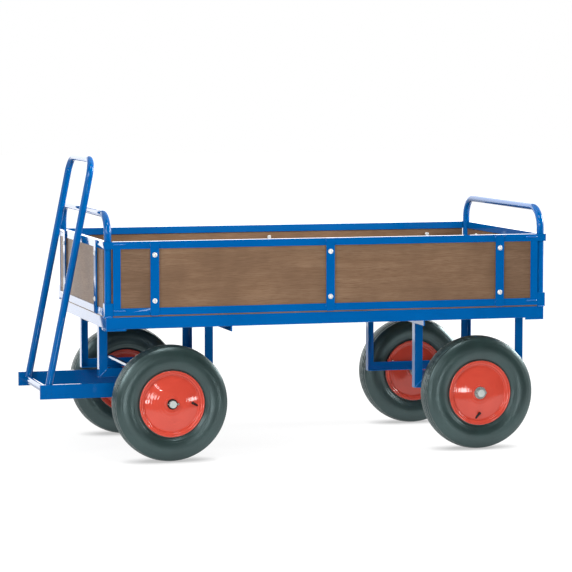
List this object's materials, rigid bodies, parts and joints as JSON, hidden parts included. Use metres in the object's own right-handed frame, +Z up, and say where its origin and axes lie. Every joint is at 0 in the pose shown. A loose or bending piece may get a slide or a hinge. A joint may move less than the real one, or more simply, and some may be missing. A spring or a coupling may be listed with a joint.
{
  "type": "turntable trolley",
  "caption": "Open box trolley with ply walls and end hoops on pneumatic wheels; the front axle steers on a ball turntable and is pulled by a hinged hoop handle.",
  "frame": {"origin": "floor level under the middle of the trolley's overall box", "axes": "+X along the trolley away from the handle, +Y to the right seen from the tail towards the handle, +Z up"},
  "size_m": [1.787, 0.824, 1.0392],
  "materials": {
    "blue_paint": "smooth powder coat",
    "red_paint": "gloss enamel",
    "brown_ply": "film-faced birch ply, satin",
    "tyre_rubber": "satin, lightly ribbed tread",
    "tube_rubber": "matt",
    "zinc_steel": "zinc plated",
    "black_steel": "black, satin",
    "bearing_steel": "ground"
  },
  "bodies": {
    "bed": {"bed_side_rails": "blue_paint", "bed_end_rails": "blue_paint", "bed_cross_members": "blue_paint", "corner_gussets": "blue_paint", "corner_sockets": "blue_paint", "front_hoop": "blue_paint", "rear_hoop": "blue_paint", "rear_frames": "blue_paint", "rear_axle": "blue_paint", "turntable_bearers": "blue_paint", "turntable_upper_plate": "blue_paint", "rear_axle_rings": "zinc_steel", "rear_split_pins": "zinc_steel", "king_bolt": "zinc_steel", "turntable_upper_ring": "zinc_steel", "deck": "brown_ply", "left_side_frame": "blue_paint", "left_side_panel": "brown_ply", "left_side_bolts": "zinc_steel", "right_side_frame": "blue_paint", "right_side_panel": "brown_ply", "right_side_bolts": "zinc_steel", "front_end_frame": "blue_paint", "front_end_panel": "brown_ply", "front_end_bolts": "zinc_steel", "rear_end_frame": "blue_paint", "rear_end_panel": "brown_ply", "rear_end_bolts": "zinc_steel"},
    "steering": {"turntable_lower_plate": "blue_paint", "turntable_lower_ring": "zinc_steel", "turntable_balls": "zinc_steel", "front_frames": "blue_paint", "front_braces": "blue_paint", "drawbar_left": "blue_paint", "drawbar_right": "blue_paint", "drawbar_ties": "blue_paint", "front_axle": "blue_paint", "front_axle_rings": "black_steel", "front_split_pins": "zinc_steel", "handle_pivot_rod": "blue_paint"},
    "handle": {"handle_hoop": "blue_paint", "handle_pivot_tube": "blue_paint"},
    "front_left_wheel": {"front_left_tyre": "tyre_rubber", "front_left_inner_tube": "tube_rubber", "front_left_rim": "red_paint", "front_left_bearings": "bearing_steel"},
    "front_right_wheel": {"front_right_tyre": "tyre_rubber", "front_right_inner_tube": "tube_rubber", "front_right_rim": "red_paint", "front_right_bearings": "bearing_steel"},
    "rear_left_wheel": {"rear_left_tyre": "tyre_rubber", "rear_left_inner_tube": "tube_rubber", "rear_left_rim": "red_paint", "rear_left_bearings": "bearing_steel"},
    "rear_right_wheel": {"rear_right_tyre": "tyre_rubber", "rear_right_inner_tube": "tube_rubber", "rear_right_rim": "red_paint", "rear_right_bearings": "bearing_steel"}
  },
  "joints": [
    {"name": "steer", "type": "hinge", "parent": "bed", "child": "steering", "pos_m": [-0.4735, 0, 0.44], "axis": [0, 0, 1], "range_deg": [-5, 5]},
    {"name": "handle_tilt", "type": "hinge", "parent": "steering", "child": "handle", "pos_m": [-0.8625, 0, 0.232], "axis": [0, -1, 0], "range_deg": [0, 115]},
    {"name": "front_left_roll", "type": "hinge", "parent": "steering", "child": "front_left_wheel", "pos_m": [-0.4735, -0.358, 0.2], "axis": [0, 1, 0], "continuous": true},
    {"name": "front_right_roll", "type": "hinge", "parent": "steering", "child": "front_right_wheel", "pos_m": [-0.4735, 0.358, 0.2], "axis": [0, 1, 0], "continuous": true},
    {"name": "rear_left_roll", "type": "hinge", "parent": "bed", "child": "rear_left_wheel", "pos_m": [0.6405, -0.358, 0.2], "axis": [0, 1, 0], "continuous": true},
    {"name": "rear_right_roll", "type": "hinge", "parent": "bed", "child": "rear_right_wheel", "pos_m": [0.6405, 0.358, 0.2], "axis": [0, 1, 0], "continuous": true}
  ]
}
